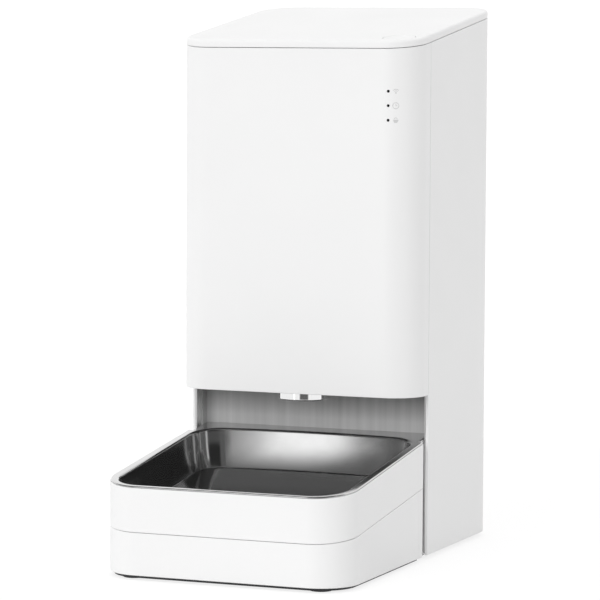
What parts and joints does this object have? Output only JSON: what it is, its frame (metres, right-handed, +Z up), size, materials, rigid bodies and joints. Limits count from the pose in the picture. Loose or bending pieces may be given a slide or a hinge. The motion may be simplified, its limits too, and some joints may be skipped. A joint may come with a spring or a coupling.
{
  "type": "smart pet feeder",
  "caption": "White dry-food dispenser: a tower with a sloping lift-off lid and feed button drops portions from a chrome outlet into a steel bowl on a wedge base.",
  "frame": {"origin": "centre of the feeder's footprint, on the floor under its feet", "axes": "+X to the right seen from the front, +Y towards the back, +Z up"},
  "size_m": [0.18, 0.3, 0.3872],
  "materials": {
    "shell_white": "white ABS, semi-gloss",
    "inner_white": "pale moulded ABS",
    "bin_clear": "translucent grey food-safe plastic",
    "panel_grey": "grey satin with faint upright streaks",
    "dark_plastic": "dark grey moulded plastic",
    "black_gloss": "smoked light pipe",
    "bowl_steel": "pressed stainless steel, polished",
    "hard_steel": "turned steel",
    "nozzle_chrome": "bright chrome",
    "foot_rubber": "dark grey rubber",
    "soft_seal": "pale silicone",
    "circuit": "green solder mask",
    "cell_wrap": "plain blue cell sleeve over metal",
    "gear_plastic": "natural acetal"
  },
  "bodies": {
    "case": {"body_shell": "shell_white", "front_cover": "shell_white", "base": "shell_white", "tower_floor": "inner_white", "top_collar": "inner_white", "portion_chamber": "inner_white", "outlet_shutter": "inner_white", "outlet_chute": "inner_white", "food_bin": "bin_clear", "recess_panel": "panel_grey", "recess_ceiling": "panel_grey", "battery_box": "dark_plastic", "power_inlet": "dark_plastic", "level_receiver": "dark_plastic", "level_emitter": "dark_plastic", "outlet_receiver": "dark_plastic", "outlet_emitter": "dark_plastic", "gearbox_case": "dark_plastic", "gearbox_cover": "dark_plastic", "base_plate": "dark_plastic", "network_light": "black_gloss", "food_level_light": "black_gloss", "outlet_light": "black_gloss", "floor_screw_1": "hard_steel", "floor_screw_2": "hard_steel", "floor_screw_3": "hard_steel", "floor_screw_4": "hard_steel", "shaft_bush": "hard_steel", "idler_pin": "hard_steel", "motor": "hard_steel", "outlet_nozzle": "nozzle_chrome", "rear_foot_1": "foot_rubber", "rear_foot_2": "foot_rubber", "base_foot_1": "foot_rubber", "base_foot_2": "foot_rubber", "base_foot_3": "foot_rubber", "base_foot_4": "foot_rubber", "control_board": "circuit", "indicator_board": "circuit", "button_switch": "circuit", "battery_cell_1": "cell_wrap", "battery_cell_2": "cell_wrap", "battery_cell_3": "cell_wrap", "battery_cell_4": "cell_wrap"},
    "lid": {"lid": "shell_white", "lid_liner": "inner_white", "lid_seal": "soft_seal"},
    "feed_button": {"feed_button": "shell_white"},
    "desiccant_box": {"desiccant_box": "inner_white"},
    "desiccant_cover": {"desiccant_cover": "inner_white"},
    "tray": {"bowl_tray": "shell_white"},
    "bowl": {"steel_bowl": "bowl_steel"},
    "rotor": {"portion_rotor": "soft_seal", "stirrer": "inner_white", "drive_shaft": "hard_steel", "drive_gear": "gear_plastic"},
    "idler": {"idler_gear": "gear_plastic"},
    "pinion": {"motor_pinion": "hard_steel"},
    "battery_door": {"battery_door": "inner_white"}
  },
  "joints": [
    {"name": "lid_lift", "type": "slide", "parent": "case", "child": "lid", "axis": [0, 0, 1], "range_m": [0, 0.08]},
    {"name": "feed_press", "type": "slide", "parent": "lid", "child": "feed_button", "axis": [0, 0, -1], "range_m": [0, 0.0008], "stiffness_N_per_m": 1200, "springref_m": -0.0006},
    {"name": "desiccant_pull", "type": "slide", "parent": "lid", "child": "desiccant_box", "axis": [0, 0, -1], "range_m": [0, 0.025]},
    {"name": "desiccant_cover_pull", "type": "slide", "parent": "desiccant_box", "child": "desiccant_cover", "axis": [0, 0, -1], "range_m": [0, 0.012]},
    {"name": "tray_slide", "type": "slide", "parent": "case", "child": "tray", "axis": [0, -0.992, -0.1265], "range_m": [0, 0.06]},
    {"name": "bowl_lift", "type": "slide", "parent": "tray", "child": "bowl", "axis": [0, 0, 1], "range_m": [0, 0.02]},
    {"name": "rotor_spin", "type": "hinge", "parent": "case", "child": "rotor", "pos_m": [0, 0.044, 0.16], "axis": [0, 0, 1], "continuous": true},
    {"name": "idler_spin", "type": "hinge", "parent": "case", "child": "idler", "pos_m": [0, 0.068, 0.135], "axis": [0, 0, 1], "continuous": true},
    {"name": "pinion_spin", "type": "hinge", "parent": "case", "child": "pinion", "pos_m": [0, 0.088, 0.13], "axis": [0, 0, 1], "continuous": true},
    {"name": "battery_door_drop", "type": "slide", "parent": "case", "child": "battery_door", "axis": [0, 0, -1], "range_m": [0, 0.015]}
  ],
  "couplings": [
    {"joint": "idler_spin", "follows": "rotor_spin", "ratio": -3},
    {"joint": "pinion_spin", "follows": "rotor_spin", "ratio": 9}
  ]
}
